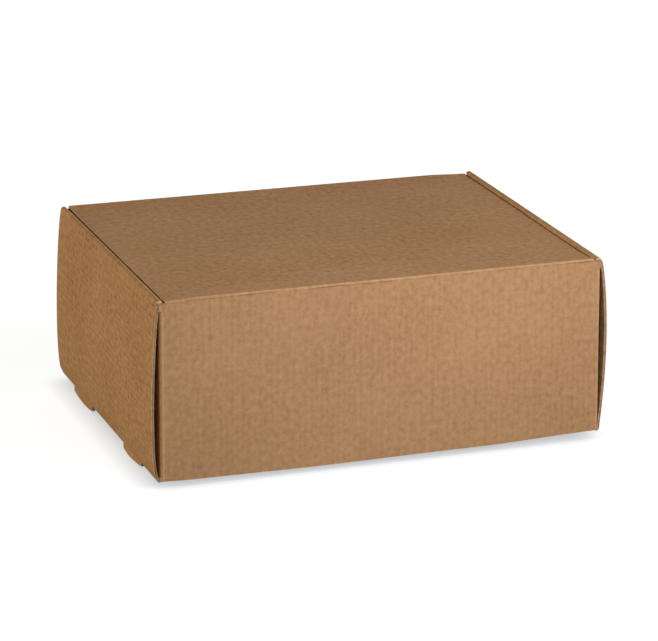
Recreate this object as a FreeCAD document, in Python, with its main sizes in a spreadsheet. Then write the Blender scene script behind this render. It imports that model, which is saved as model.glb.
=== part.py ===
import FreeCAD, Part
import Sketcher
import os
import re

# Closed corrugated mailing box, folded from one die-cut sheet, in millimetres.
# X runs along the width, the front is at -Y, Z is up, and the feet's tips are at Z 0.
# The sheet is split only at its two moving folds: tray, lid and front flap.

# Driving dimensions
SIZES = [
    ("width", 274, "over the outer side panels, at their folds"),
    ("depth", 207.5, "front flap's face to back wall's face"),
    ("height", 108.5, "underside of the base to the top of the lid"),
    ("board", 1.5, "thickness of the fluted board"),
    ("play", 0.15, "free space left between two layers of board"),
    ("fold_radius", 2.0, "outside radius of a fold"),
    ("roll_width", 4.0, "width of the side's rolled-over top edge"),
    ("roll_rise", 0.5, "rolled-over edge above the lid"),
    ("lid_slot", 1.6, "slot between the lid and a rolled-over edge"),
    ("bow", 3.6, "how far an outer side panel bulges at mid height"),
    ("settle", 8, "height in which an inner side panel spreads inwards"),
    ("side_setback", 0.3, "outer side panel's front edge behind the flap's face"),
    ("foot_drop", 4.0, "how far a foot reaches below the base"),
    ("foot_length", 42, "length of a foot along the side"),
    ("foot_spacing", 109.5, "between the middles of the two feet of one side"),
    ("foot_curve", 1.8, "rise of a foot's curved lower edge towards its two ends"),
    ("tab_drop", 3.0, "how far an inner side panel's tab reaches past the base's top"),
    ("corner_flap", 70, "length of a wall's corner flap inside the side pocket"),
    ("corner_flap_top", 10, "corner flap's upper edge below the top of the box"),
    ("corner_flap_taper", 12, "height lost at the corner flap's free end"),
    ("shoulder_drop", 1.0, "front flap's shoulder below the top of the box"),
    ("ear_top", 6, "start of an ear's fold below the top of the box"),
    ("ear_foot", 2, "end of an ear's fold above the base's underside"),
    ("ear_bottom", 6, "lower rear corner of an ear above the base's underside"),
    ("ear_clearance", 0.3, "ear's free edge to the rolled-over edge as it swings past"),
]

doc = FreeCAD.newDocument("mailing_box")
sheet = doc.addObject("Spreadsheet::Sheet", "sizes")
for row, (alias, value, note) in enumerate(SIZES, start=1):
    sheet.set(f"A{row}", alias)
    sheet.set(f"B{row}", str(value))
    sheet.set(f"C{row}", note)
    sheet.setAlias(f"B{row}", alias)
doc.recompute()


def size(text):
    """An expression on the sheet: each word is the alias of a cell."""
    return "(" + re.sub("[a-z_]+", lambda word: "sizes." + word.group(), text) + ")"


# Levels and faces that several pieces share
HALF_WIDTH = size("width / 2")
HALF_DEPTH = size("depth / 2")
BASE = size("foot_drop")
FLOOR = size("foot_drop + board")
TOP = size("foot_drop + height")
UNDER_TOP = size("foot_drop + height - board")
ROLL_TOP = size("foot_drop + height + roll_rise")
ROLL_UNDER = size("foot_drop + height + roll_rise - board")
MIDDLE = size("foot_drop + (height + roll_rise) / 2")
WALL_TOP = size("foot_drop + height - board - play")
ROUND = size("fold_radius")
LAYER = size("board + play")
FRONT_WALL = f"({LAYER} - {HALF_DEPTH})"
INNER_FACE = f"({HALF_WIDTH} - 4 * {LAYER} + {size('play')})"
ROLL_FACE = size("width / 2 - roll_width")
LID_HALF = f"({ROLL_FACE} - {size('lid_slot')})"
FLAP_HALF = f"({HALF_WIDTH} - {LAYER})"
FRONT_CORNER = f"({HALF_WIDTH} - 2 * {LAYER})"

# The lid turns about the middle of its rear edge, the flap about the middle of its top edge
HINGE_Y = size("depth / 2 - board / 2")
HINGE_Z = size("foot_drop + height - board / 2")
DIAGONAL = "sqrt(0.5)"

# How far a cut runs past what it cuts
MARGIN = 1


def number(text):
    """The value of an expression at the sizes in the sheet."""
    result = sheet.evalExpression(text)
    return float(getattr(result, "Value", result))


def origin_plane(body, role):
    return next(f for f in body.Origin.OriginFeatures if f.Role == role)


def new_sketch(body, name, role, offset="0"):
    """A sketch on one of the body's origin planes, moved along the plane's normal."""
    sketch = body.newObject("Sketcher::SketchObject", name)
    sketch.AttachmentSupport = [(origin_plane(body, role), "")]
    sketch.MapMode = "FlatFace"
    sketch.setExpression("AttachmentOffset.Base.z", offset)
    return sketch


def fix_point(sketch, geometry, position, across, up):
    """Bind a point's two coordinates to expressions."""
    for kind, text in (("DistanceX", across), ("DistanceY", up)):
        index = sketch.addConstraint(Sketcher.Constraint(kind, -1, 1, geometry, position, number(text)))
        sketch.setExpression(f"Constraints[{index}]", text)


def outline(sketch, corners):
    """Draw a closed outline. A corner is (across, up), or (across, up, mid_across, mid_up)
    where the edge that starts there is an arc through the mid point."""
    starts = [FreeCAD.Vector(number(c[0]), number(c[1]), 0) for c in corners]
    edges = []
    for i, corner in enumerate(corners):
        start, end = starts[i], starts[(i + 1) % len(corners)]
        if len(corner) == 2:
            edges.append((sketch.addGeometry(Part.LineSegment(start, end), False), 1, 2))
            continue
        middle = FreeCAD.Vector(number(corner[2]), number(corner[3]), 0)
        anticlockwise = (middle - start).cross(end - start).z > 0
        first, last = (start, end) if anticlockwise else (end, start)
        arc = sketch.addGeometry(Part.Arc(first, middle, last), False)
        edges.append((arc, 1, 2) if anticlockwise else (arc, 2, 1))
        point = sketch.addGeometry(Part.Point(middle), True)
        sketch.addConstraint(Sketcher.Constraint("PointOnObject", point, 1, arc))
        fix_point(sketch, point, 1, corner[2], corner[3])
    for i, (edge, begin, _) in enumerate(edges):
        before, _, finish = edges[i - 1]
        sketch.addConstraint(Sketcher.Constraint("Coincident", before, finish, edge, begin))
        fix_point(sketch, edge, begin, corners[i][0], corners[i][1])


def quarter(centre_across, centre_up, radius, side, rise):
    """The mid point of a quarter-round corner: side and rise are 1 or -1."""
    reach = f"{radius} * {DIAGONAL}"
    return f"{centre_across} + {side} * {reach}", f"{centre_up} + {rise} * {reach}"


def rectangle(sketch, low_across, low_up, high_across, high_up):
    outline(sketch, [(low_across, low_up), (high_across, low_up),
                     (high_across, high_up), (low_across, high_up)])


def pad(body, sketch, name, length, middle=False):
    """Thicken a sketch along its plane's normal, or to both sides of the plane."""
    feature = body.newObject("PartDesign::Pad", name)
    feature.Profile = sketch
    feature.setExpression("Length", length)
    feature.Midplane = middle
    doc.recompute()
    return feature


def pocket(body, sketch, name, length):
    """Cut a sketch into the solid, against its plane's normal, and see that it cuts."""
    before = body.Shape.Volume
    feature = body.newObject("PartDesign::Pocket", name)
    feature.Profile = sketch
    feature.setExpression("Length", length)
    doc.recompute()
    if feature.Shape.Volume >= before:
        raise RuntimeError(f"{name} cuts nothing")
    return feature


def mirrored(body, name, features):
    """Repeat features on the other side of the box's middle."""
    mirror = body.newObject("PartDesign::Mirrored", name)
    mirror.Originals = features
    mirror.MirrorPlane = (origin_plane(body, "YZ_Plane"), [""])
    body.Tip = mirror
    doc.recompute()
    return mirror


def rounded(body, name, is_wanted, radius):
    """Round the edges of the body that a test picks by their middle and direction."""
    tip = body.Tip
    wanted = []
    for i, edge in enumerate(tip.Shape.Edges, start=1):
        middle = edge.BoundBox.Center
        if edge.Curve.TypeId == "Part::GeomLine" and is_wanted(edge.BoundBox, middle):
            wanted.append(f"Edge{i}")
    feature = body.newObject("PartDesign::Fillet", name)
    feature.Base = (tip, wanted)
    feature.setExpression("Radius", radius)
    doc.recompute()
    return feature


def side_panel(body):
    """The right side's outer panel, cut across: from the base's fold up the bulge and over
    the rolled edge."""
    sketch = new_sketch(body, "side_section", "XZ_Plane", f"-{HALF_DEPTH}")
    outer_back = size("width / 2 - board")
    fold_start = f"{HALF_WIDTH} - {ROUND}"
    roll_start = f"{ROLL_FACE} + {size('board')}"
    low, high = f"{BASE} + {ROUND}", f"{ROLL_TOP} - {ROUND}"
    outline(sketch, [
        (fold_start, BASE, *quarter(fold_start, low, ROUND, 1, -1)),
        (HALF_WIDTH, low, size("width / 2 + bow"), MIDDLE),
        (HALF_WIDTH, high, *quarter(fold_start, high, ROUND, 1, 1)),
        (fold_start, ROLL_TOP),
        (roll_start, ROLL_TOP, *quarter(roll_start, ROLL_UNDER, size("board"), -1, 1)),
        (ROLL_FACE, ROLL_UNDER),
        (outer_back, ROLL_UNDER, size("width / 2 - board + bow"), MIDDLE),
        (outer_back, FLOOR),
        (fold_start, FLOOR),
    ])
    return pad(body, sketch, "side", size("depth - side_setback"))


def inner_panel(body):
    """The panel that hangs inside from the rolled edge. It spreads inwards to make room for
    the layers in the pocket, and fits between the front and the back wall."""
    board = size("board")
    sketch = new_sketch(body, "inner_panel_section", "XZ_Plane", f"{LAYER} - {HALF_DEPTH}")
    shoulder = f"{TOP} - {size('settle')}"
    foot = f"{FLOOR} + {size('play')}"
    outline(sketch, [
        (INNER_FACE, foot),
        (f"{INNER_FACE} + {board}", foot),
        (f"{INNER_FACE} + {board}", shoulder),
        (f"{ROLL_FACE} + {board}", UNDER_TOP),
        (f"{ROLL_FACE} + {board}", ROLL_UNDER),
        (ROLL_FACE, ROLL_UNDER),
        (ROLL_FACE, UNDER_TOP),
        (INNER_FACE, shoulder),
    ])
    return pad(body, sketch, "inner_panel", f"{size('depth')} - 3 * {LAYER}")


def foot_middles():
    return size("-foot_spacing / 2"), size("foot_spacing / 2")


def feet(body):
    """The right side's two feet: tongues left standing in the outer panel's plane
    where the base's slots are cut."""
    half, curve = size("foot_length / 2"), size("foot_curve")
    top = f"{BASE} + {ROUND}"
    sketch = new_sketch(body, "feet_outline", "YZ_Plane", size("width / 2 - board"))
    for middle in foot_middles():
        rear, front = f"{middle} + {half}", f"{middle} - {half}"
        outline(sketch, [
            (front, curve, middle, "0"),
            (rear, curve),
            (rear, top),
            (front, top),
        ])
    return pad(body, sketch, "feet", size("board"))


def wall(body, name, face, inwards, half_width):
    """A wall that stands up from the base at a fold, with its outer face at a given Y.
    inwards is 1 for the front wall and -1 for the back wall."""
    sketch = new_sketch(body, name + "_section", "YZ_Plane")
    back = f"{face} + {inwards} * {size('board')}"
    turn = f"{face} + {inwards} * {ROUND}"
    low = f"{BASE} + {ROUND}"
    outline(sketch, [
        (turn, BASE, *quarter(turn, low, ROUND, -inwards, -1)),
        (face, low),
        (face, WALL_TOP),
        (back, WALL_TOP),
        (back, FLOOR),
        (turn, FLOOR),
    ])
    return pad(body, sketch, name, f"2 * {half_width}", middle=True)


def corner_flap(body, name, face, inwards, half_width):
    """A corner flap folded back from a wall's end into the side's pocket, on the right."""
    board = size("board")
    sketch = new_sketch(body, name + "_outline", "YZ_Plane", f"{half_width} - {board}")
    free_end = f"{face} + {inwards} * {size('corner_flap')}"
    low = f"{FLOOR} + 2 * {size('play')}"
    high = f"{TOP} - {size('corner_flap_top')}"
    taper = size("corner_flap_taper")
    outline(sketch, [
        (face, low),
        (free_end, f"{low} + {taper} / 2"),
        (free_end, f"{high} - {taper}"),
        (face, high),
    ])
    return pad(body, sketch, name, board)


def front_end_cuts(body):
    """Shorten the sides' two folds in front, where the flap's ends stand."""
    beyond = f"{HALF_DEPTH} + {MARGIN}"
    inner, outer = f"{ROLL_FACE} - {MARGIN}", size("width / 2 - board")
    sketch = new_sketch(body, "front_ends", "XY_Plane", f"{ROLL_TOP} + {MARGIN}")
    for low, high in ((inner, outer), (f"-{outer}", f"-({inner})")):
        rectangle(sketch, low, f"-({beyond})", high, FRONT_WALL)
    pocket(body, sketch, "front_end_cuts", f"{size('height + roll_rise')} + 2 * {MARGIN}")


def slots_and_tabs(body):
    """Slots in the base beside each foot, and the inner panels' tabs that lock in them."""
    half = size("foot_length / 2")
    tab_half = f"({half} - {size('play')})"
    board = size("board")
    slots = new_sketch(body, "slot_outlines", "XY_Plane", FLOOR)
    tabs = new_sketch(body, "tab_outlines", "XY_Plane", f"{FLOOR} - {size('tab_drop')}")
    for side in ("", "-"):
        for middle in foot_middles():
            slot = [f"{side}({INNER_FACE} - {size('play')})", f"{side}{size('width / 2 - board')}"]
            tab = [f"{side}{INNER_FACE}", f"{side}({INNER_FACE} + {board})"]
            if side:
                slot.reverse()
                tab.reverse()
            rectangle(slots, slot[0], f"{middle} - {half}", slot[1], f"{middle} + {half}")
            rectangle(tabs, tab[0], f"{middle} - {tab_half}", tab[1], f"{middle} + {tab_half}")
    pocket(body, slots, "slots", board)
    pad(body, tabs, "tabs", size("tab_drop + 2 * play"))


def make_tray():
    """The base with its back wall, inner front wall and rolled-over double sides."""
    body = doc.addObject("PartDesign::Body", "tray")
    base = new_sketch(body, "base_outline", "XY_Plane", BASE)
    reach = f"{HALF_WIDTH} - {ROUND}"
    rectangle(base, f"-({reach})", f"{FRONT_WALL} + {ROUND}", reach, f"{HALF_DEPTH} - {ROUND}")
    pad(body, base, "base", size("board"))
    wall(body, "back_wall", HALF_DEPTH, -1, FLAP_HALF)
    wall(body, "front_wall", FRONT_WALL, 1, FRONT_CORNER)
    flaps = [corner_flap(body, "back_corner_flap", HALF_DEPTH, -1, FLAP_HALF),
             corner_flap(body, "front_corner_flap", FRONT_WALL, 1, FRONT_CORNER)]
    mirrored(body, "left_corner_flaps", flaps)
    faces = (number(HALF_DEPTH), number(FRONT_WALL))
    ends = (number(FLAP_HALF), number(FRONT_CORNER))

    def is_wall_end(box, middle):
        upright = box.ZLength > number(size("height / 4"))
        at_face = min(abs(middle.y - y) for y in faces) < 0.01
        return upright and at_face and min(abs(abs(middle.x) - x) for x in ends) < 0.01

    rounded(body, "corner_folds", is_wall_end, size("board * 0.9"))
    mirrored(body, "left_side", [side_panel(body), inner_panel(body), feet(body)])
    front_end_cuts(body)
    slots_and_tabs(body)
    return body


def make_lid():
    """The top panel, which hinges on the back wall's top fold."""
    body = doc.addObject("PartDesign::Body", "lid")
    section = new_sketch(body, "lid_section", "YZ_Plane")
    outline(section, [
        (FRONT_WALL, UNDER_TOP),
        (HINGE_Y, UNDER_TOP, HALF_DEPTH, HINGE_Z),
        (HINGE_Y, TOP),
        (FRONT_WALL, TOP),
    ])
    pad(body, section, "panel", f"2 * {LID_HALF}", middle=True)
    return body


def make_front_flap():
    """The flap that covers the front from the lid's front fold down, with an ear folded
    back at each end. The ears' free edge is an arc about the lid's hinge, so that they
    swing out of the side pockets in front of the rolled-over edges."""
    body = doc.addObject("PartDesign::Body", "front_flap")
    board = size("board")
    shoulder = f"{TOP} - {size('shoulder_drop')}"
    front = new_sketch(body, "flap_outline", "XZ_Plane", HALF_DEPTH + " - " + board)
    outline(front, [
        (f"-{FLAP_HALF}", BASE),
        (FLAP_HALF, BASE),
        (FLAP_HALF, shoulder),
        (LID_HALF, shoulder),
        (LID_HALF, HINGE_Z),
        (f"-{LID_HALF}", HINGE_Z),
        (f"-{LID_HALF}", shoulder),
        (f"-{FLAP_HALF}", shoulder),
    ])
    pad(body, front, "flap", board)

    fold = new_sketch(body, "fold_section", "YZ_Plane")
    face, back = f"-{HALF_DEPTH}", f"{board} - {HALF_DEPTH}"
    outline(fold, [
        (back, HINGE_Z, f"-{HINGE_Y}", TOP),
        (face, HINGE_Z),
    ])
    pad(body, fold, "fold", f"2 * {LID_HALF}", middle=True)

    swing = f"({HINGE_Y} - {FRONT_WALL} + {size('ear_clearance')})"
    reach = f"({swing} * {swing} + {board} * {board} / 4)"

    def free_edge(level):
        return f"{HINGE_Y} - sqrt({reach} - ({HINGE_Z} - {level}) * ({HINGE_Z} - {level}))"

    ear_top = f"({TOP} - {size('ear_top')})"
    ear_bottom = f"({BASE} + {size('ear_bottom')})"
    ear_middle = f"(({ear_top} + {ear_bottom}) / 2)"
    ears = new_sketch(body, "ear_outline", "YZ_Plane", f"{FLAP_HALF} - {board}")
    outline(ears, [
        (face, f"{BASE} + {size('ear_foot')}"),
        (free_edge(ear_bottom), ear_bottom, free_edge(ear_middle), ear_middle),
        (free_edge(ear_top), ear_top),
        (face, ear_top),
    ])
    mirrored(body, "left_ear", [pad(body, ears, "ear", board)])

    def is_ear_fold(box, middle):
        upright = box.ZLength > number(size("height / 4"))
        at_face = abs(middle.y + number(HALF_DEPTH)) < 0.01
        return upright and at_face and abs(abs(middle.x) - number(FLAP_HALF)) < 0.01

    rounded(body, "ear_folds", is_ear_fold, size("board * 0.9"))
    return body


pieces = [make_tray(), make_lid(), make_front_flap()]
for piece in pieces:
    piece.Placement = FreeCAD.Placement()
doc.recompute()

# Every object has to be sound before anything is written
for item in doc.Objects:
    if "Invalid" in item.State or "Error" in item.State:
        raise RuntimeError(f"{item.Label} did not rebuild: {item.State}")
for piece in pieces:
    if piece.Shape.isNull() or not piece.Shape.isValid():
        raise RuntimeError(f"{piece.Label} has no sound shape")
    if len(piece.Shape.Solids) != 1:
        raise RuntimeError(f"{piece.Label} is {len(piece.Shape.Solids)} solids, not one")

os.makedirs("parts", exist_ok=True)
for piece in pieces:
    piece.Shape.exportStep(f"parts/{piece.Label}.step")
    box = piece.Shape.BoundBox
    print(f"{piece.Label}: {piece.Shape.Volume:.0f} mm3, X {box.XMin:.2f} to {box.XMax:.2f},"
          f" Y {box.YMin:.2f} to {box.YMax:.2f}, Z {box.ZMin:.2f} to {box.ZMax:.2f}")
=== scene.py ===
import bmesh
import bpy
import math
import numpy as np
from mathutils import Matrix, Vector


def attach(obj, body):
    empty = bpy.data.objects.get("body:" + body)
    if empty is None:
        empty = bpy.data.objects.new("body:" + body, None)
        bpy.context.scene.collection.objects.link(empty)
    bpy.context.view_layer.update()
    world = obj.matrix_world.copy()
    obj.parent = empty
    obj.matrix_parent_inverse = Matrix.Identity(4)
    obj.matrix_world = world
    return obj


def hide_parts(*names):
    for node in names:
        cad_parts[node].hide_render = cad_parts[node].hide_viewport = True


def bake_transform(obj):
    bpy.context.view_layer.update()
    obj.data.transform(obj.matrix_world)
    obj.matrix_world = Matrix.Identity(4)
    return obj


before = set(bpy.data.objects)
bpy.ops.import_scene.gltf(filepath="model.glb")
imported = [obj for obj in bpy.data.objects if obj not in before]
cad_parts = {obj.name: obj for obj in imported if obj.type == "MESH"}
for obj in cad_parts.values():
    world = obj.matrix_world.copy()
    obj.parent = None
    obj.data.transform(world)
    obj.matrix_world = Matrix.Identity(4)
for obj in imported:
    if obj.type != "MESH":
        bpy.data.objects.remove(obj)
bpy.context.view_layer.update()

# Lengths are in millimetres until a mesh is made
MM = 0.001
HALF_WIDTH = 137.0
HALF_DEPTH = 103.75
BASE = 4.0
BOARD = 1.5
PLAY = 0.15
TOP = 112.5
ROLL_TOP = TOP + 0.5
ROLL_UNDER = ROLL_TOP - BOARD
FLOOR = BASE + BOARD
UNDER_TOP = TOP - BOARD
LAYER = BOARD + PLAY
WALL_TOP = UNDER_TOP - PLAY
FRONT_WALL_TOP = WALL_TOP - 1.0
ROUND = 2.0
FOLD = 1.6
ROLL_FACE = HALF_WIDTH - 4.0
INNER_FACE = HALF_WIDTH - 4 * LAYER + PLAY
SETTLE = 8.0
LID_HALF = ROLL_FACE - 1.6
FLAP_HALF = HALF_WIDTH - LAYER
FRONT_CORNER = HALF_WIDTH - 2 * LAYER
FRONT_WALL = LAYER - HALF_DEPTH
SIDE_FRONT = 0.3 - HALF_DEPTH
FOOT_HALF = 21.0
FOOT_MIDDLE = 109.5 / 2
FOOT_CURVE = 1.8
FRONT_FOOT_SHORT = 3.5
FRONT_FOOT_RISE = 1.3
TAB_DROP = 3.0
CORNER_FLAP = 70.0
CORNER_TOP = TOP - 10.0
CORNER_TAPER = 12.0
CORNER_RISE = 6.0
BACK_WALL_SPLIT = 30.0
SHOULDER = TOP - 1.0
EAR_TOP = TOP - 6.0
EAR_FOOT = BASE + 2.0
EAR_BOTTOM = BASE + 6.0
HINGE_Y = HALF_DEPTH - BOARD / 2
HINGE_Z = TOP - BOARD / 2
EAR_SWING = HINGE_Y - FRONT_WALL + 0.3
EAR_END = -60.0

# Where the walls, the feet and the end lie on the flat sheet, apart from the side strips
FRONT_SHEET = -300.0
BACK_SHEET = 300.0
FOOT_SHEET = 1000.0
SHEET_END = 1000.0

# The fluted board: two liners with a wave of paper between them
LINER = 0.3
WAVE_PITCH = 3.4
WAVE_PAPER = 0.24
WAVE_DEPTH = 1.2
WAVE_SETBACK = 0.08
WAVE_BACKING = 0.8
CORE_SETBACK = 0.3
CORE_WIDTH = 1.6
SKIN_GAP = 0.01

# How far a moving fold's bending part reaches past its rounding
FOLD_REACH = 1.5

# How finely curves are cut, and what counts as one place or as a sharp edge
BULGE_STEPS = 60
ARC_STEPS = 24
WAVE_STEPS = 12
SAME_PLACE = 1e-6
LEAST_STEP = 1e-4
SHARP = math.radians(38)


class Path:
    """A line drawn across the box, with the board's depth to the left of its travel."""

    def __init__(self, start):
        self.points = [np.array(start, float)]
        self.ends = [0]
        self.curved = []

    def line(self, end, bulge=None):
        start = self.points[-1]
        steps = BULGE_STEPS if bulge else 1
        for i in range(1, steps + 1):
            share = i / steps
            point = start + (np.array(end, float) - start) * share
            if bulge:
                point = point + np.array(bulge(share), float)
            self.points.append(point)
        self.ends.append(len(self.points) - 1)
        self.curved.append(False)
        return self

    def arc(self, centre, radius, begin, finish):
        for i in range(1, ARC_STEPS + 1):
            angle = math.radians(begin + (finish - begin) * i / ARC_STEPS)
            self.points.append(np.array([centre[0] + radius * math.cos(angle),
                                         centre[1] + radius * math.sin(angle)]))
        self.ends.append(len(self.points) - 1)
        self.curved.append(True)
        return self

    def close(self):
        points = np.array(self.points)
        runs = np.diff(points, axis=0)
        lengths = np.linalg.norm(runs, axis=1)
        self.along = np.concatenate([[0], np.cumsum(lengths)])
        self.marks = self.along[self.ends]
        directions = runs / lengths[:, None]
        tangents = np.vstack([directions[:1], directions[:-1] + directions[1:], directions[-1:]])
        tangents /= np.linalg.norm(tangents, axis=1)[:, None]
        self.xy = points
        self.normals = np.stack([-tangents[:, 1], tangents[:, 0]], 1)
        return self

    def at(self, along, depth):
        a = np.interp(along, self.along, self.xy[:, 0])
        b = np.interp(along, self.along, self.xy[:, 1])
        na = np.interp(along, self.along, self.normals[:, 0])
        nb = np.interp(along, self.along, self.normals[:, 1])
        length = np.hypot(na, nb)
        return a + depth * na / length, b + depth * nb / length

    def stations(self, low, high, coarse, fine):
        """Where to cut the sheet between two places: close together in the bends."""
        found = [low, high]
        for i, curved in enumerate(self.curved):
            start, end = max(self.marks[i], low), min(self.marks[i + 1], high)
            if end - start > SAME_PLACE:
                count = max(1, int(math.ceil((end - start) / (fine if curved else coarse))))
                found.extend(np.linspace(start, end, count + 1))
        found = np.unique(np.round(found, 6))
        return apart(found)


def apart(found):
    """The stations without those that lie almost on the one before."""
    return found[np.concatenate([[True], np.diff(found) > LEAST_STEP])]


def spread(low, high, step, *extra):
    """Even stations from low to high, with some added ones."""
    count = max(1, int(math.ceil((high - low) / step)))
    found = np.unique(np.round(np.concatenate([np.linspace(low, high, count + 1), extra]), 6))
    return apart(found[(found >= low - SAME_PLACE) & (found <= high + SAME_PLACE)])


def grid(across, along):
    return np.meshgrid(np.asarray(across, float), np.asarray(along, float), indexing="ij")


def turned(side, values):
    """Stations or a grid's rows made for the right side, in order for the given side."""
    return values if side > 0 else -values[::-1]


def turned_grid(side, across, along):
    return turned(side, across), along if side > 0 else along[::-1]


def outer_rim(side):
    return "b" if side > 0 else "a"


class Piece:
    """A mesh built of layers. Each layer is a grid folded into place, with a near and a far
    face and closed rims where the sheet was cut."""

    def __init__(self, name):
        self.name = name
        self.points = []
        self.flats = []
        self.faces = []
        self.cut = []
        self.count = 0

    def layer(self, across, along, place, near, far, rims="abcd", cut=False):
        """Rims a and b are the first and last rows across, c and d the first and last along."""
        rows, columns = across.shape
        start = self.count
        for depth in (near, far):
            depth = np.broadcast_to(np.asarray(depth, float), across.shape)
            self.points.append(np.stack(place(across, along, depth), -1).reshape(-1, 3))
            self.flats.append(np.stack([across, along, depth], -1).reshape(-1, 3))
        self.count += 2 * rows * columns
        index = np.arange(rows * columns).reshape(rows, columns) + start
        other = index + rows * columns
        for i in range(rows - 1):
            for j in range(columns - 1):
                a, b, c, d = index[i, j], index[i + 1, j], index[i + 1, j + 1], index[i, j + 1]
                self.faces.append((a, d, c, b))
                a, b, c, d = other[i, j], other[i + 1, j], other[i + 1, j + 1], other[i, j + 1]
                self.faces.append((a, b, c, d))
                self.cut.extend((cut, cut))
        edges = {"a": (index[0], other[0], False), "b": (index[-1], other[-1], True),
                 "c": (index[:, 0], other[:, 0], True), "d": (index[:, -1], other[:, -1], False)}
        for side in rims:
            near_line, far_line, turn = edges[side]
            for k in range(len(near_line) - 1):
                face = (near_line[k], far_line[k], far_line[k + 1], near_line[k + 1])
                self.faces.append(face[::-1] if turn else face)
                self.cut.append(True)

    def board(self, across, along, place, rims="", waves="", cores="", filled=""):
        """Two liners, and between them the wave's ends, its flank or crushed board along the
        cut sides."""
        self.layer(across, along, place, 0.0, LINER, rims)
        self.layer(across, along, place, BOARD - LINER, BOARD, rims)
        for side in waves:
            column = 0 if side == "c" else -1
            inward = 1.0 if side == "c" else -1.0
            line_across, line_along = across[:, column], along[:, column]
            count = max(2, int((line_across[-1] - line_across[0]) / WAVE_PITCH * WAVE_STEPS))
            fine = np.linspace(line_across[0], line_across[-1], count)
            edge = np.interp(fine, line_across, line_along)
            u = np.stack([fine, fine], 1)
            v = np.stack([edge + inward * WAVE_DEPTH, edge + inward * WAVE_SETBACK], 1)
            if side == "c":
                v = v[:, ::-1]
            swing = (BOARD - 2 * LINER - WAVE_PAPER) / 2 - SKIN_GAP
            middle = BOARD / 2 + swing * np.sin(2 * math.pi * u / WAVE_PITCH)
            self.layer(u, v, place, middle - WAVE_PAPER / 2, middle + WAVE_PAPER / 2, cut=True)
        for side in waves + filled:
            column = 0 if side == "c" else -1
            inward = 1.0 if side == "c" else -1.0
            setback = WAVE_BACKING if side in waves else WAVE_SETBACK
            outer = along[:, column] + inward * setback
            inner = along[:, column] + inward * (setback + CORE_WIDTH)
            v = np.stack((outer, inner) if side == "c" else (inner, outer), 1)
            u = np.stack([across[:, column]] * 2, 1)
            self.layer(u, v, place, LINER + SKIN_GAP, BOARD - LINER - SKIN_GAP, cut=True)
        for side in cores:
            row = 0 if side == "a" else -1
            inward = 1.0 if side == "a" else -1.0
            outer = across[row] + inward * CORE_SETBACK
            inner = across[row] + inward * (CORE_SETBACK + CORE_WIDTH)
            u = np.stack((outer, inner) if side == "a" else (inner, outer), 0)
            v = np.stack([along[row]] * 2, 0)
            self.layer(u, v, place, LINER + SKIN_GAP, BOARD - LINER - SKIN_GAP, cut=True)

    def make(self, body=None):
        points = np.concatenate(self.points) * MM
        flats = np.concatenate(self.flats) * MM
        mesh = bpy.data.meshes.new(self.name)
        mesh.from_pydata(points.tolist(), [], [tuple(int(i) for i in f) for f in self.faces])
        flat = mesh.attributes.new("flat", "FLOAT_VECTOR", "POINT")
        flat.data.foreach_set("vector", flats.astype(np.float32).ravel())
        mesh.polygons.foreach_set("material_index", [int(c) for c in self.cut])
        solid = bmesh.new()
        solid.from_mesh(mesh)
        bmesh.ops.remove_doubles(solid, verts=solid.verts, dist=SAME_PLACE)
        bmesh.ops.dissolve_degenerate(solid, edges=solid.edges, dist=1e-7)
        bmesh.ops.recalc_face_normals(solid, faces=solid.faces)
        for face in solid.faces:
            face.smooth = True
        for edge in solid.edges:
            faces = edge.link_faces
            if len(faces) == 2:
                sharp = faces[0].normal.angle(faces[1].normal, 0) > SHARP
                edge.smooth = not (sharp or faces[0].material_index != faces[1].material_index)
        solid.to_mesh(mesh)
        solid.free()
        piece = bpy.data.objects.new(self.name, mesh)
        bpy.context.scene.collection.objects.link(piece)
        mesh.materials.append({"tray": kraft, "lid": kraft_lid}.get(body, kraft_flap))
        mesh.materials.append(cut_kraft)
        if body:
            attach(piece, body)
        return piece


def soft_noise(a, b, seed, size):
    """A smooth uneven surface between about -1 and 1."""
    chance = np.random.default_rng(seed)
    total = np.zeros_like(a, float)
    for _ in range(6):
        angle = chance.uniform(0, math.pi)
        length = size * chance.uniform(0.7, 1.6)
        phase = chance.uniform(0, 2 * math.pi)
        reach = a * math.cos(angle) + b * math.sin(angle)
        total = total + np.sin(reach * 2 * math.pi / length + phase)
    return total / 3.5


# Materials

def new_material(name):
    material = bpy.data.materials.new(name)
    material.use_nodes = True
    return material, material.node_tree.nodes, material.node_tree.links


def math_node(nodes, links, operation, a, b=None):
    node = nodes.new("ShaderNodeMath")
    node.operation = operation
    for i, value in enumerate((a, b)):
        if value is None:
            continue
        if isinstance(value, (int, float)):
            node.inputs[i].default_value = value
        else:
            links.new(value, node.inputs[i])
    return node.outputs[0]


def flat_coordinates(nodes, links, scale):
    """The place on the flat sheet, in millimetres times scale."""
    attribute = nodes.new("ShaderNodeAttribute")
    attribute.attribute_name = "flat"
    node = nodes.new("ShaderNodeVectorMath")
    node.operation = "MULTIPLY"
    node.inputs[1].default_value = [1000.0 * s for s in scale]
    links.new(attribute.outputs["Vector"], node.inputs[0])
    return node.outputs[0]


def noise(nodes, links, scale, detail=3.0, rough=0.55):
    node = nodes.new("ShaderNodeTexNoise")
    node.inputs["Scale"].default_value = 1.0
    node.inputs["Detail"].default_value = detail
    node.inputs["Roughness"].default_value = rough
    links.new(flat_coordinates(nodes, links, scale), node.inputs["Vector"])
    return node.outputs["Fac"]


def signed(nodes, links, value, amount):
    """A noise about zero, times an amount."""
    centred = math_node(nodes, links, "SUBTRACT", value, 0.5)
    return math_node(nodes, links, "MULTIPLY", centred, amount)


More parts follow.
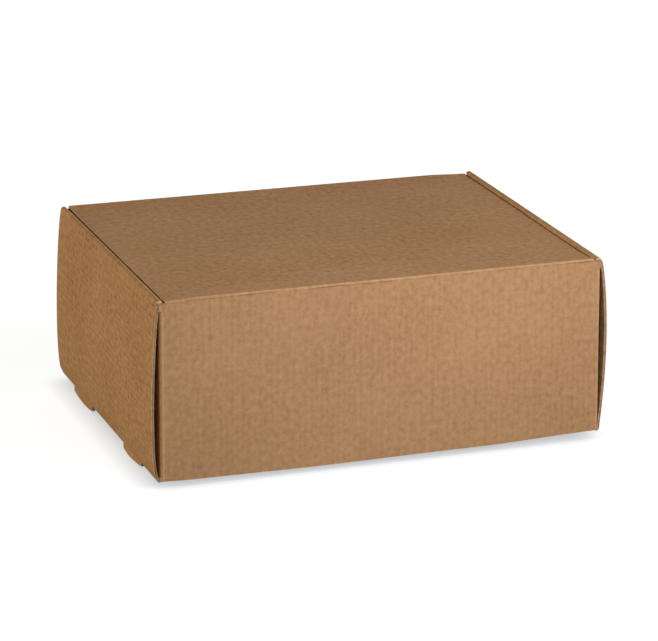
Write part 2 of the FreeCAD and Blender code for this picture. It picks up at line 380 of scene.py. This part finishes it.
def map_range(nodes, links, value, span, result, kind="LINEAR"):
    """A value taken from its span to the span of the result."""
    node = nodes.new("ShaderNodeMapRange")
    node.interpolation_type = kind
    names = ("From Min", "From Max", "To Min", "To Max")
    for name, amount in zip(names, (*span, *result)):
        node.inputs[name].default_value = amount
    links.new(value, node.inputs["Value"])
    return node.outputs[0]


def total_of(nodes, links, values):
    total = values[0]
    for value in values[1:]:
        total = math_node(nodes, links, "ADD", total, value)
    return total


def kraft_material(name, light, dark, mottle, grain, marks=()):
    """Paper with mottling, faint flutes and fibres, and lighter or darker lines: painted highlights at
    folds and edges and painted shade in creases, partly also wear.
    A mark is: along or across, where its middle is, how far that wanders, half its width, how
    much lighter, how patchy, and the places along the sheet between which it shows."""
    material, nodes, links = new_material(name)
    shader = nodes["Principled BSDF"]
    shader.inputs["Roughness"].default_value = 0.9
    shader.inputs["Specular IOR Level"].default_value = 0.1
    clouds = signed(nodes, links, noise(nodes, links, (0.012, 0.016, 0.05), 2.0), 0.35 * mottle)
    blots = signed(nodes, links, noise(nodes, links, (0.3, 0.26, 0.4), 3.0, 0.6), 1.0 * mottle)
    streaks = signed(nodes, links, noise(nodes, links, (0.34, 0.035, 0.4), 2.0, 0.5), 0.35 * grain)
    fibres = signed(nodes, links, noise(nodes, links, (1.9, 0.8, 1.0), 3.0, 0.6), 0.55 * mottle)
    ribs = nodes.new("ShaderNodeTexWave")
    ribs.wave_type = "BANDS"
    ribs.bands_direction = "X"
    ribs.inputs["Scale"].default_value = 0.314
    ribs.inputs["Distortion"].default_value = 1.4
    ribs.inputs["Detail"].default_value = 1.0
    ribs.inputs["Detail Scale"].default_value = 0.5
    links.new(flat_coordinates(nodes, links, (1 / WAVE_PITCH, 0.01, 0.0)), ribs.inputs["Vector"])
    ribbing = signed(nodes, links, ribs.outputs["Fac"], 0.07 * grain)
    split = nodes.new("ShaderNodeSeparateXYZ")
    links.new(flat_coordinates(nodes, links, (1.0, 1.0, 1.0)), split.inputs[0])
    places = {"across": split.outputs["X"], "along": split.outputs["Y"]}
    lines = []
    # Each mark paints a highlight or a shade line into the paper's colour, in places also wear
    for direction, middle, wander, half, amount, patchy, low, high in marks:
        away = math_node(nodes, links, "SUBTRACT", places[direction], middle)
        if wander:
            waver = noise(nodes, links, (0.09, 0.09, 0.0), 4.0, 0.65)
            bend = signed(nodes, links, waver, 4.0 * wander)
            away = math_node(nodes, links, "SUBTRACT", away, bend)
        away = math_node(nodes, links, "ABSOLUTE", away)
        falling = map_range(nodes, links, away, (0.0, half), (amount, 0.0), "SMOOTHSTEP")
        after = math_node(nodes, links, "GREATER_THAN", places["along"], low)
        before = math_node(nodes, links, "LESS_THAN", places["along"], high)
        line = math_node(nodes, links, "MULTIPLY", falling, after)
        line = math_node(nodes, links, "MULTIPLY", line, before)
        if patchy:
            # A patchy mark, painted highlight or painted shade, shows only in patches along its line
            patches = noise(nodes, links, (0.045, 0.06, 0.0), 3.0, 0.6)
            patch_share = map_range(nodes, links, patches, (0.38, 0.62), (1.0 - patchy, 1.0))
            line = math_node(nodes, links, "MULTIPLY", line, patch_share)
        lines.append(line)
    total = total_of(nodes, links, [clouds, blots, streaks, fibres, ribbing, *lines])
    total = math_node(nodes, links, "ADD", total, 0.5)
    ramp = nodes.new("ShaderNodeValToRGB")
    ramp.color_ramp.elements[0].color = (*dark, 1)
    ramp.color_ramp.elements[1].color = (*light, 1)
    links.new(total, ramp.inputs["Fac"])
    links.new(ramp.outputs["Color"], shader.inputs["Base Color"])
    bump = nodes.new("ShaderNodeBump")
    bump.inputs["Strength"].default_value = 0.35
    bump.inputs["Distance"].default_value = 0.0001
    dents = math_node(nodes, links, "MULTIPLY", blots, 0.4)
    links.new(total_of(nodes, links, [dents, fibres, ribbing]), bump.inputs["Height"])
    links.new(bump.outputs["Normal"], shader.inputs["Normal"])
    return material


def linear(red, green, blue):
    """A colour given as written on screen."""
    return tuple(((c / 255 + 0.055) / 1.055) ** 2.4 if c > 10 else c / 255 / 12.92
                 for c in (red, green, blue))


# The base and both sides are one strip, cut across here from the middle of the base

def make_side_path(turn, foot, lean, crest, swell, low_power, high_power):
    """turn is the lower fold's radius and foot moves it out, lean and crest move the rolled
    edge out and up, and swell sets how far the panel bulges between them."""
    def bulge(share):
        return (swell * share ** low_power * (1 - share) ** high_power, 0)

    path = Path((0, BASE))
    path.line((HALF_WIDTH + foot - turn, BASE))
    path.arc((HALF_WIDTH + foot - turn, BASE + turn), turn, -90, 0)
    path.line((HALF_WIDTH + lean, ROLL_TOP + crest - ROUND), bulge=bulge)
    path.arc((HALF_WIDTH + lean - ROUND, ROLL_TOP + crest - ROUND), ROUND, 0, 90)
    path.line((ROLL_FACE + lean / 2 + BOARD, ROLL_TOP + crest))
    path.arc((ROLL_FACE + lean / 2 + BOARD, ROLL_UNDER + crest), BOARD, 90, 180)
    path.line((ROLL_FACE + lean / 2, UNDER_TOP + crest))
    path.line((INNER_FACE, TOP - SETTLE))
    path.line((INNER_FACE, FLOOR + PLAY))
    path.line((INNER_FACE, FLOOR - TAB_DROP))
    return path.close()


# The left side bulges less than the right one, and most near its foot
RIGHT_FOOT = 1.4
LEFT_TURN = 1.6
CORNER_LIFT = 1.3
CORNER_LIFT_TOP = 70.0
right_path = make_side_path(ROUND, RIGHT_FOOT, 0.0, 0.0, 13.1, 1.02, 0.83)
left_path = make_side_path(LEFT_TURN, 0.0, -0.6, -0.5, 7.4, 0.45, 0.75)


def step(value, low, high):
    """A smooth rise from 0 at low to 1 at high."""
    share = np.clip((value - low) / (high - low), 0, 1)
    return share * share * (3 - 2 * share)


def corner_lift(x, y, z):
    """The box stands a little high at its lower right corner in front."""
    near = step(x / HALF_WIDTH, 0.5, 1.0) * step(-y / HALF_DEPTH, 0.3, 1.0)
    return CORNER_LIFT * near * (1 - step(z, BASE, CORNER_LIFT_TOP))


def place_side_along(path):
    def place(across, along, depth):
        x, z = path.at(np.abs(across), depth)
        x = np.sign(across) * x
        return x, along, z + corner_lift(x, along, z)
    return place


place_base = place_side_along(right_path)


def place_foot(across, along, depth):
    """A foot: across is measured down from the outer panel's lower end."""
    low = np.abs(across) - FOOT_SHEET
    x = HALF_WIDTH + np.where(across > 0, RIGHT_FOOT, 0.0) - depth
    return np.sign(across) * x, along, BASE + np.where(across > 0, ROUND, LEFT_TURN) - low


def feet_zones():
    return [(side * FOOT_MIDDLE - FOOT_HALF, side * FOOT_MIDDLE + FOOT_HALF) for side in (-1, 1)]


def make_tray():
    piece = Piece("tray_board")
    back_turn = HALF_DEPTH - ROUND
    front_turn = FRONT_WALL + ROUND
    slot = INNER_FACE - PLAY
    breaks = [edge for zone in feet_zones() for edge in zone]

    # The base between the slots
    piece.board(*grid(spread(-slot, slot, 8), spread(front_turn, back_turn, 8, *breaks)), place_base)
    for side, path in ((-1, left_path), (1, right_path)):
        add_side(piece, side, path, breaks, front_turn, back_turn, slot)
    add_wall(piece, FRONT_WALL, 1, FRONT_CORNER, FRONT_WALL_TOP, FRONT_SHEET)
    add_wall(piece, HALF_DEPTH, -1, FLAP_HALF, None, BACK_SHEET)
    return piece.make("tray")


def add_side(piece, side, path, breaks, front_turn, back_turn, slot):
    _, base_end, panel_low, panel_high, _, _, roll_end, _, _, panel_foot, tab_end = path.marks
    place = place_side_along(path)

    def stations(low, high, coarse, fine):
        return turned(side, path.stations(low, high, coarse, fine))

    # Strips of the base beside the slots, and the lower fold between the feet
    for low, high in ((front_turn, breaks[0]), (breaks[1], breaks[2]), (breaks[3], back_turn)):
        piece.board(*grid(stations(slot, base_end, 2, 0.4), spread(low, high, 8)), place)
    arcs = [(SIDE_FRONT, breaks[0]), (breaks[1], breaks[2]), (breaks[3], HALF_DEPTH)]
    for (low, high), ends in zip(arcs, ("c", "", "d")):
        piece.board(*grid(stations(base_end, panel_low, 2, 0.4),
                          spread(low, high, 8, front_turn, back_turn)),
                    place, rims=ends, waves=ends)
    # Outer panel, rolled edge, inner panel and its tabs
    piece.board(*grid(stations(panel_low, panel_high, 3.4, 0.4),
                      spread(SIDE_FRONT, HALF_DEPTH, 8, front_turn, back_turn, *breaks)),
                place, rims="cd", waves="cd")
    piece.board(*grid(stations(panel_high, roll_end, 1.2, 0.3),
                      spread(FRONT_WALL, HALF_DEPTH, 8, *breaks)), place, rims="cd", filled="cd")
    piece.board(*grid(stations(roll_end, panel_foot, 6, 0.3),
                      spread(FRONT_WALL + LAYER, HALF_DEPTH - LAYER, 8, *breaks)),
                place, rims="cd", waves="cd")
    tip = outer_rim(side)
    for low, high in feet_zones():
        piece.board(*grid(stations(panel_foot, tab_end, 6, 0.3), spread(low, high, 8)),
                    place, rims="cd" + tip, waves="cd", cores=tip)
        # A foot, with its curved lower edge
        share = spread(0, 1, 0.05)
        drop = np.array([0, 0.3, 0.6, 1.0])
        length = BASE + (ROUND if side > 0 else LEFT_TURN) - FOOT_CURVE * (2 * share - 1) ** 2
        if low < 0:
            low += FRONT_FOOT_SHORT
            length = length - FRONT_FOOT_RISE * (1 - step(share, 0.3, 0.85))
        rows = FOOT_SHEET + drop[:, None] * length[None, :]
        columns = np.repeat((low + (high - low) * share)[None, :], len(drop), 0)
        piece.board(*turned_grid(side, rows, columns), place_foot, rims="cd" + tip, cores=tip)


def add_wall(piece, face, inwards, half, top, sheet_offset):
    """A wall with its bottom fold and its two corner flaps. With no top given, its middle
    goes on up to the lid's fold."""
    path = Path((0, face * inwards))
    path.line((half - ROUND, face * inwards))
    path.arc((half - ROUND, face * inwards + ROUND), ROUND, -90, 0)
    path.line((half, face * inwards + CORNER_FLAP))
    path.close()
    _, turn, flap_start, flap_end = path.marks

    def place(across, along, depth):
        x, y = path.at(np.abs(across), depth)
        x, y, z = np.sign(across) * x, y * inwards, along - sheet_offset
        return x, y, z + corner_lift(x, y, z)

    def place_fold(across, along, depth):
        angle = (along - sheet_offset) / ROUND
        radius = ROUND - depth
        y = face + inwards * (ROUND - radius * np.sin(angle))
        z = BASE + ROUND - radius * np.cos(angle)
        return across, y, z + corner_lift(across, y, z)

    low = BASE + ROUND
    across = spread(-turn, turn, 8)
    fold = sheet_offset + np.linspace(0, ROUND * math.pi / 2, 9)
    piece.board(*grid(across, fold), place_fold)
    if top is None:
        rest = spread(-LID_HALF, LID_HALF, 4)
        piece.board(*grid(rest, sheet_offset + spread(low, TOP - BACK_WALL_SPLIT, 8)), place)
        upper = spread(REAR_LOW - BACK_WALL_SPLIT + FOLD, REAR_LOW - FOLD_REACH, 4)
        piece.board(*grid(rest, upper), place_over)
        for side in (-1, 1):
            strip = turned(side, spread(LID_HALF, turn, 4))
            piece.board(*grid(strip, sheet_offset + spread(low, WALL_TOP, 6)), place,
                        rims="d", waves="d")
    else:
        piece.board(*grid(across, sheet_offset + spread(low, top, 6)), place, rims="d", waves="d")
    for side in (-1, 1):
        corner = turned(side, path.stations(turn, flap_start, 4, 0.4))
        piece.board(*grid(corner, sheet_offset + spread(low, CORNER_TOP, 6)), place, rims="cd")
        flap = spread(flap_start, flap_end, 8)
        share = spread(0, 1, 0.08)
        away = (flap - flap_start) / (flap_end - flap_start)
        bottom = low + CORNER_RISE * away
        height = CORNER_TOP - CORNER_TAPER * away - bottom
        columns = bottom[:, None] + height[:, None] * share[None, :] + sheet_offset
        rows = np.repeat(flap[:, None], len(share), 1)
        tip = outer_rim(side)
        piece.board(*turned_grid(side, rows, columns), place, rims="cd" + tip, waves="cd", cores=tip)


# The back wall's top, the lid and the front flap follow one line from behind to the front

over_path = Path((HALF_DEPTH, BASE + ROUND))
over_path.line((HALF_DEPTH, TOP - FOLD))
over_path.arc((HALF_DEPTH - FOLD, TOP - FOLD), FOLD, 0, 90)
over_path.line((FOLD - HALF_DEPTH, TOP))
over_path.arc((FOLD - HALF_DEPTH, TOP - FOLD), FOLD, 90, 180)
over_path.line((-HALF_DEPTH, BASE))
over_path.close()
_, REAR_LOW, REAR_HIGH, FRONT_HIGH, FRONT_LOW, FLAP_END = over_path.marks

# How unevenly the lid lies: its folds' rise, its drooping corners, its sunken sides, its waves
FOLD_RISE = 0.5
DROOP = 0.9
SUNK = 1.0
WAVES = 0.12

# How the front flap hangs: its lower right corner out and up, its left one up, and its sag
PULLED_OUT = 1.75
RIGHT_UP = 1.9
LEFT_UP = 0.5
SAG = 0.65
EDGE_OUT = 0.3


def ridge(distance):
    """One at a fold, falling off over the lid and faster down the wall below it."""
    return np.exp(-(distance / np.where(distance > 0, 14.0, 5.0)) ** 2)


def lift(across, along):
    """How far the lid and its folds stand above or below the flat: the folds are a little
    high, and the lid sinks along its free sides."""
    rear = along - (REAR_LOW + REAR_HIGH) / 2
    front = (FRONT_HIGH + FRONT_LOW) / 2 - along
    share = across / LID_HALF
    rear_height = FOLD_RISE + 0.1 * np.clip(-share, 0, 1) - DROOP * step(share, 0.8, 1.0)
    front_height = FOLD_RISE + 0.2 * np.clip(share, 0, 1) - DROOP * step(-share, 0.85, 1.0)
    from_folds = np.minimum(rear, front)
    sunk = step(np.abs(share), 0.62, 1.0) * step(from_folds, 0, 9.0)
    waves = WAVES * soft_noise(across, along, 5, 90.0) * step(from_folds, 0, 30.0)
    return ridge(rear) * rear_height + ridge(front) * front_height - SUNK * sunk + waves


def hang(across, height):
    """How far the front flap's lower part stands out to the right and up: its right side is
    pulled out, its right corner is high and its lower edge hangs down left of the middle."""
    share = across / FLAP_HALF
    down = np.clip((TOP - height) / (TOP - BASE), 0, 1)
    out = PULLED_OUT * down * step(share, 0.3, 1.0)
    corners = RIGHT_UP * step(share, 0.45, 1.0) + LEFT_UP * step(-share, 0.85, 1.0)
    up = corners - SAG * np.exp(-((share + 0.3) / 0.4) ** 2)
    return out, up * down ** 1.5


def place_over(across, along, depth):
    y, z = over_path.at(along, depth)
    out, up = hang(across, np.where(along > FRONT_LOW, z, TOP))
    return across + out, y, z + up + lift(across, along)


def make_flap_path(radius):
    path = Path((0, -HALF_DEPTH))
    path.line((FLAP_HALF - radius, -HALF_DEPTH))
    path.arc((FLAP_HALF - radius, radius - HALF_DEPTH), radius, -90, 0)
    path.line((FLAP_HALF, EAR_END))
    return path.close()


# The left ear's fold is wider than the right one's
flap_paths = {-1: make_flap_path(2.4), 1: make_flap_path(1.6)}


def edge_out(across):
    """The right edge stands a little out, beside the lid's own width."""
    return EDGE_OUT * np.clip((across - LID_HALF) / (FLAP_HALF - LID_HALF), 0, 1)


def place_flap(side):
    def place(across, along, depth):
        x, y = flap_paths[side].at(np.abs(across), depth)
        z = BASE + FLAP_END - along
        out, up = hang(side * x, z)
        inside = np.exp(-np.clip(y + HALF_DEPTH - BOARD, 0, None) / 6.0)
        return side * x + (out + edge_out(side * x)) * inside, y, z + up
    return place


def place_flap_flat(across, along, depth):
    z = BASE + FLAP_END - along
    out, up = hang(across, z)
    rise = np.where(across > 0, 0.7, -0.5) * np.exp(-np.abs(TOP - z) / 4.0)
    return across + out + edge_out(across), depth - HALF_DEPTH, z + up + rise


def level(z):
    """The place along the flap for a height."""
    return BASE + FLAP_END - z


def make_lid():
    piece = Piece("lid_board")
    along = spread(REAR_HIGH + FOLD_REACH, FRONT_HIGH - FOLD_REACH, 4)
    piece.board(*grid(spread(-LID_HALF, LID_HALF, 4), along), place_over, rims="ab", cores="ab")
    return piece.make("lid")


def make_fold(name, low, high):
    """The strip round a fold, between two bodies."""
    piece = Piece(name)
    along = over_path.stations(low - FOLD_REACH, high + FOLD_REACH, 0.75, 0.2)
    piece.board(*grid(spread(-LID_HALF, LID_HALF, 4), along), place_over, rims="ab", cores="ab")
    made = piece.make()
    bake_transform(made)


def free_edge(z):
    """Where an ear ends, on the circle that it swings on."""
    reach = EAR_SWING ** 2 + BOARD ** 2 / 4
    return HINGE_Y - np.sqrt(reach - (HINGE_Z - z) ** 2)


def make_flap():
    piece = Piece("flap_board")
    strip_end = TOP - FOLD - FOLD_REACH
    across = spread(-LID_HALF, LID_HALF, 4)
    lower_rows = spread(level(strip_end), level(BASE), 4, level(EAR_TOP), level(EAR_FOOT))
    piece.board(*grid(across, lower_rows), place_over, rims="d", waves="d")
    shoulder_rows = spread(level(SHOULDER), level(EAR_TOP), 5, level(strip_end))
    beside_ear = (lower_rows >= level(EAR_TOP) - SAME_PLACE) & (lower_rows <= level(EAR_FOOT) + SAME_PLACE)
    ear_rows = lower_rows[beside_ear]
    foot_rows = lower_rows[lower_rows >= level(EAR_FOOT) - SAME_PLACE]
    for side, path in flap_paths.items():
        _, ear_turn, ear_start, _ = path.marks
        place = place_flap(side)
        outer = outer_rim(side)
        edge_strip = turned(side, spread(LID_HALF, FLAP_HALF, 1, ear_turn))
        # Shoulder beside the lid's fold
        piece.board(*grid(edge_strip, shoulder_rows), place_flap_flat,
                    rims="c" + outer, waves="c", cores=outer)
        # Down to the ear's fold and round it
        piece.board(*grid(turned(side, spread(LID_HALF, ear_turn, 2)), ear_rows), place_flap_flat)
        corner = turned(side, path.stations(ear_turn, ear_start, 2, 0.3))
        piece.board(*grid(corner, ear_rows), place, rims="cd")
        # Corner below the ear
        piece.board(*grid(edge_strip, foot_rows), place_flap_flat,
                    rims="d" + outer, waves="d", cores=outer)
        # Ear
        share = spread(0, 1, 0.1)
        face_to_start = path.xy[-2][1]
        z = BASE + FLAP_END - ear_rows
        taper = np.clip((z - EAR_FOOT) / (EAR_BOTTOM - EAR_FOOT), 0.02, 1)
        length = np.where(z >= EAR_BOTTOM, free_edge(z) - face_to_start,
                          (free_edge(EAR_BOTTOM) - face_to_start) * taper)
        columns = np.repeat(ear_rows[None, :], len(share), 0)
        ear = ear_start + share[:, None] * length[None, :]
        piece.board(*turned_grid(side, ear, columns), place, rims="cd" + outer, cores=outer)
    return piece.make("front_flap")


# The sheet's face and its cut edges, with painted highlights and painted crease shade at the front flap's
# folds and the lid's sides, partly also wear
LIGHT, DARK = linear(204, 162, 122), linear(144, 101, 66)
LEFT_EAR, RIGHT_EAR = (flap_paths[side].marks[1] for side in (-1, 1))
painted_light_and_wear_marks = [
    # Painted highlight along the front fold's ridge, partly also worn paper
    ("along", FRONT_HIGH + 0.9, 0.15, 0.5, 0.45, 0.6, 0.0, SHEET_END),
    # Painted shade in the crease just below the front fold
    ("along", FRONT_HIGH + 2.3, 0.35, 0.5, -0.6, 0.85, 0.0, SHEET_END),
    # Painted highlights along the lid's two cut sides
    ("across", -LID_HALF, 0.0, 1.6, 0.28, 0.3, REAR_HIGH, FRONT_HIGH),
    ("across", LID_HALF, 0.0, 1.4, 0.1, 0.3, REAR_HIGH, FRONT_HIGH),
    # Painted highlights on the ears' fold roundings, partly also worn paper
    ("across", -LEFT_EAR - 0.2, 0.0, 1.0, 0.4, 0.2, level(EAR_TOP), SHEET_END),
    ("across", RIGHT_EAR + 0.4, 0.0, 1.2, 0.16, 0.2, level(EAR_TOP), SHEET_END),
]
kraft = kraft_material("kraft_tray", LIGHT, DARK, 1.35, 1.2)
kraft_lid = kraft_material("kraft_lid", LIGHT, DARK, 1.15, 0.25, painted_light_and_wear_marks)
kraft_flap = kraft_material("kraft_flap", LIGHT, DARK, 0.8, 0.65, painted_light_and_wear_marks)
cut_kraft = kraft_material("kraft_cut", linear(222, 190, 152), linear(168, 132, 98), 1.0, 1.0)

tray_piece = make_tray()
lid_piece = make_lid()
flap_piece = make_flap()
make_fold("rear_fold", REAR_LOW, REAR_HIGH)
make_fold("front_fold", FRONT_HIGH, FRONT_LOW)
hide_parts("tray")
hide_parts("lid")
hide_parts("front_flap")

# Camera, at the photograph's viewing angle
AZIMUTH, ELEVATION, ROLL = math.radians(-19.603), math.radians(17.670), math.radians(0.467)
CAMERA_RIGHT, CAMERA_UP, CAMERA_BACK = 3.51, 54.99, 2031.3
PICTURE_WIDTH = 658
FOCAL_LENGTH_IN_PIXELS = 3311.8
SENSOR = 36.0


def add_camera():
    flat = math.cos(ELEVATION)
    back = Vector((math.sin(AZIMUTH) * flat, -math.cos(AZIMUTH) * flat, math.sin(ELEVATION)))
    level_right = Vector((0, 0, 1)).cross(back).normalized()
    level_up = back.cross(level_right)
    right = math.cos(ROLL) * level_right + math.sin(ROLL) * level_up
    up = math.cos(ROLL) * level_up - math.sin(ROLL) * level_right
    offset = CAMERA_RIGHT * right + CAMERA_UP * up + CAMERA_BACK * back - Vector((0, 0, 1))
    data = bpy.data.cameras.new("camera")
    data.sensor_fit = "HORIZONTAL"
    data.sensor_width = SENSOR
    data.lens = FOCAL_LENGTH_IN_PIXELS / PICTURE_WIDTH * SENSOR
    camera = bpy.data.objects.new("camera", data)
    bpy.context.scene.collection.objects.link(camera)
    turn = Matrix((right, up, back)).transposed().to_4x4()
    camera.matrix_world = Matrix.Translation(offset * MM) @ turn
    bpy.context.scene.camera = camera


# Floor, and a white world for the camera with plain light for the object
FLOOR_REACH = 12.0
CONTACT_REACH = 0.015


def seen_directly(nodes, links, rays):
    """One for a ray from the camera, or one that a shiny or clear surface sends on."""
    either = math_node(nodes, links, "MAXIMUM", rays.outputs["Is Camera Ray"],
                       rays.outputs["Is Glossy Ray"])
    return math_node(nodes, links, "MAXIMUM", either, rays.outputs["Is Transmission Ray"])


def add_floor():
    mesh = bpy.data.meshes.new("floor")
    corners = [(FLOOR_REACH * x, FLOOR_REACH * y, 0) for x, y in ((-1, -1), (1, -1), (1, 1), (-1, 1))]
    mesh.from_pydata(corners, [], [(0, 1, 2, 3)])
    floor = bpy.data.objects.new("floor", mesh)
    bpy.context.scene.collection.objects.link(floor)
    material, nodes, links = new_material("floor_white")
    nodes.remove(nodes["Principled BSDF"])
    output = nodes["Material Output"]
    rays = nodes.new("ShaderNodeLightPath")
    plain = nodes.new("ShaderNodeBsdfDiffuse")
    plain.inputs["Color"].default_value = (0.08, 0.08, 0.08, 1)
    seen = nodes.new("ShaderNodeBsdfDiffuse")
    seen.inputs["Color"].default_value = (0.27, 0.3, 0.34, 1)
    # The floor's glow for the camera is dimmed by ambient occlusion close to the box: a painted contact
    # shadow
    closeness = nodes.new("ShaderNodeAmbientOcclusion")
    closeness.samples = 16
    closeness.inputs["Distance"].default_value = CONTACT_REACH
    brightness = map_range(nodes, links, closeness.outputs["AO"], (0.3, 1.0), (0.55, 0.88))
    glow = nodes.new("ShaderNodeEmission")
    links.new(brightness, glow.inputs["Strength"])
    both = nodes.new("ShaderNodeAddShader")
    links.new(seen.outputs[0], both.inputs[0])
    links.new(glow.outputs[0], both.inputs[1])
    mix = nodes.new("ShaderNodeMixShader")
    links.new(seen_directly(nodes, links, rays), mix.inputs[0])
    links.new(plain.outputs[0], mix.inputs[1])
    links.new(both.outputs[0], mix.inputs[2])
    links.new(mix.outputs[0], output.inputs["Surface"])
    mesh.materials.append(material)


def set_world(strength):
    world = bpy.data.worlds.new("studio")
    bpy.context.scene.world = world
    world.use_nodes = True
    nodes, links = world.node_tree.nodes, world.node_tree.links
    background = nodes["Background"]
    background.inputs["Color"].default_value = (1, 1, 1, 1)
    background.inputs["Strength"].default_value = strength
    white = nodes.new("ShaderNodeBackground")
    white.inputs["Color"].default_value = (1, 1, 1, 1)
    white.inputs["Strength"].default_value = 1.0
    rays = nodes.new("ShaderNodeLightPath")
    mix = nodes.new("ShaderNodeMixShader")
    links.new(seen_directly(nodes, links, rays), mix.inputs[0])
    links.new(background.outputs[0], mix.inputs[1])
    links.new(white.outputs[0], mix.inputs[2])
    links.new(mix.outputs[0], nodes["World Output"].inputs["Surface"])


def add_lamp(name, position, target, size, power, colour=(1, 1, 1)):
    """A soft rectangular lamp, placed in metres and turned to its target."""
    data = bpy.data.lights.new(name, "AREA")
    data.shape = "RECTANGLE"
    data.size, data.size_y = size
    data.energy = power
    data.color = colour
    lamp = bpy.data.objects.new(name, data)
    bpy.context.scene.collection.objects.link(lamp)
    lamp.location = position
    direction = Vector(target) - Vector(position)
    lamp.rotation_euler = direction.to_track_quat("-Z", "Y").to_euler()


add_camera()
add_floor()
set_world(0.06)
add_lamp("key", (1.5, -0.8, 0.8), (0, 0, 0.05), (0.7, 0.7), 23, (1.0, 0.9, 0.72))
add_lamp("near_front", (0.05, -0.4, 0.19), (0.02, -0.1, 0.09), (0.4, 0.1), 0.95, (0.84, 0.91, 1.0))
add_lamp("left", (-1.9, -0.35, 0.7), (0, 0, 0.05), (0.8, 0.8), 25, (1.0, 0.9, 0.64))
add_lamp("rear", (0.5, 1.8, 0.22), (0, 0, 0.05), (0.8, 0.4), 14)
bpy.context.scene.view_settings.view_transform = "Standard"
